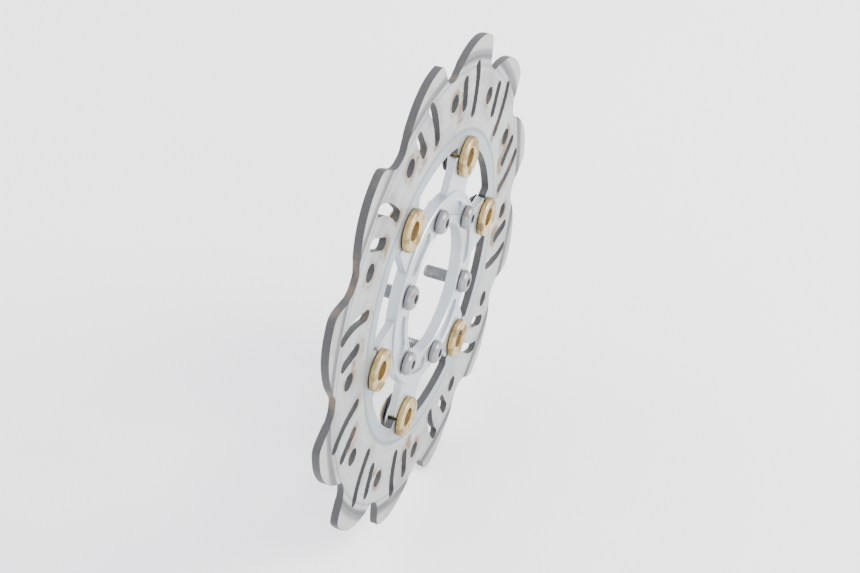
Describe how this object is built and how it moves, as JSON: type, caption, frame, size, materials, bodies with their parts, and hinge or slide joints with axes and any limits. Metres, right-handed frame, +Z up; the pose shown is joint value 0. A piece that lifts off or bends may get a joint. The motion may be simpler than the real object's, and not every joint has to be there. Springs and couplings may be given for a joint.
{
  "type": "brake disc rotor",
  "caption": "Floating wave brake disc: slotted steel ring carried by gold drive buttons on an aluminium centre carrier with hub bolts.",
  "frame": {"origin": "on the disc's axis, in the plane of the carrier's back face, which sits on the wheel hub", "axes": "Y along the axis of rotation, -Y towards the outer side with the button heads, +Z up"},
  "size_m": [0.22, 0.0211, 0.22],
  "materials": {
    "ring_steel": "worn friction track, rust at the cuts",
    "carrier_aluminium": "satin, dusty",
    "gold_plate": "gold plating, stained",
    "washer_steel": "zinc plated",
    "spring_steel": "oiled black",
    "bolt_steel": "dull, dirty"
  },
  "bodies": {
    "hub_side": {"carrier": "carrier_aluminium", "hub_bolt_1": "bolt_steel", "hub_bolt_2": "bolt_steel", "hub_bolt_3": "bolt_steel", "hub_bolt_4": "bolt_steel", "hub_bolt_5": "bolt_steel", "hub_bolt_6": "bolt_steel"},
    "brake_ring": {"brake_ring": "ring_steel"},
    "drive_1": {"drive_button_1": "gold_plate", "flat_washer_1": "washer_steel", "wave_washer_1": "spring_steel", "circlip_1": "spring_steel"},
    "drive_2": {"drive_button_2": "gold_plate", "flat_washer_2": "washer_steel", "wave_washer_2": "spring_steel", "circlip_2": "spring_steel"},
    "drive_3": {"drive_button_3": "gold_plate", "flat_washer_3": "washer_steel", "wave_washer_3": "spring_steel", "circlip_3": "spring_steel"},
    "drive_4": {"drive_button_4": "gold_plate", "flat_washer_4": "washer_steel", "wave_washer_4": "spring_steel", "circlip_4": "spring_steel"},
    "drive_5": {"drive_button_5": "gold_plate", "flat_washer_5": "washer_steel", "wave_washer_5": "spring_steel", "circlip_5": "spring_steel"},
    "drive_6": {"drive_button_6": "gold_plate", "flat_washer_6": "washer_steel", "wave_washer_6": "spring_steel", "circlip_6": "spring_steel"}
  },
  "joints": [
    {"name": "ring_float", "type": "slide", "parent": "hub_side", "child": "brake_ring", "axis": [0, 1, 0], "range_m": [-0.0002, 0.0002]},
    {"name": "button_turn_1", "type": "hinge", "parent": "hub_side", "child": "drive_1", "pos_m": [0.03368, 0, 0.04722], "axis": [0, 1, 0], "continuous": true},
    {"name": "button_turn_2", "type": "hinge", "parent": "hub_side", "child": "drive_2", "pos_m": [0.05773, 0, -0.00556], "axis": [0, 1, 0], "continuous": true},
    {"name": "button_turn_3", "type": "hinge", "parent": "hub_side", "child": "drive_3", "pos_m": [0.02405, 0, -0.05278], "axis": [0, 1, 0], "continuous": true},
    {"name": "button_turn_4", "type": "hinge", "parent": "hub_side", "child": "drive_4", "pos_m": [-0.03368, 0, -0.04722], "axis": [0, 1, 0], "continuous": true},
    {"name": "button_turn_5", "type": "hinge", "parent": "hub_side", "child": "drive_5", "pos_m": [-0.05773, 0, 0.00556], "axis": [0, 1, 0], "continuous": true},
    {"name": "button_turn_6", "type": "hinge", "parent": "hub_side", "child": "drive_6", "pos_m": [-0.02405, 0, 0.05278], "axis": [0, 1, 0], "continuous": true}
  ]
}
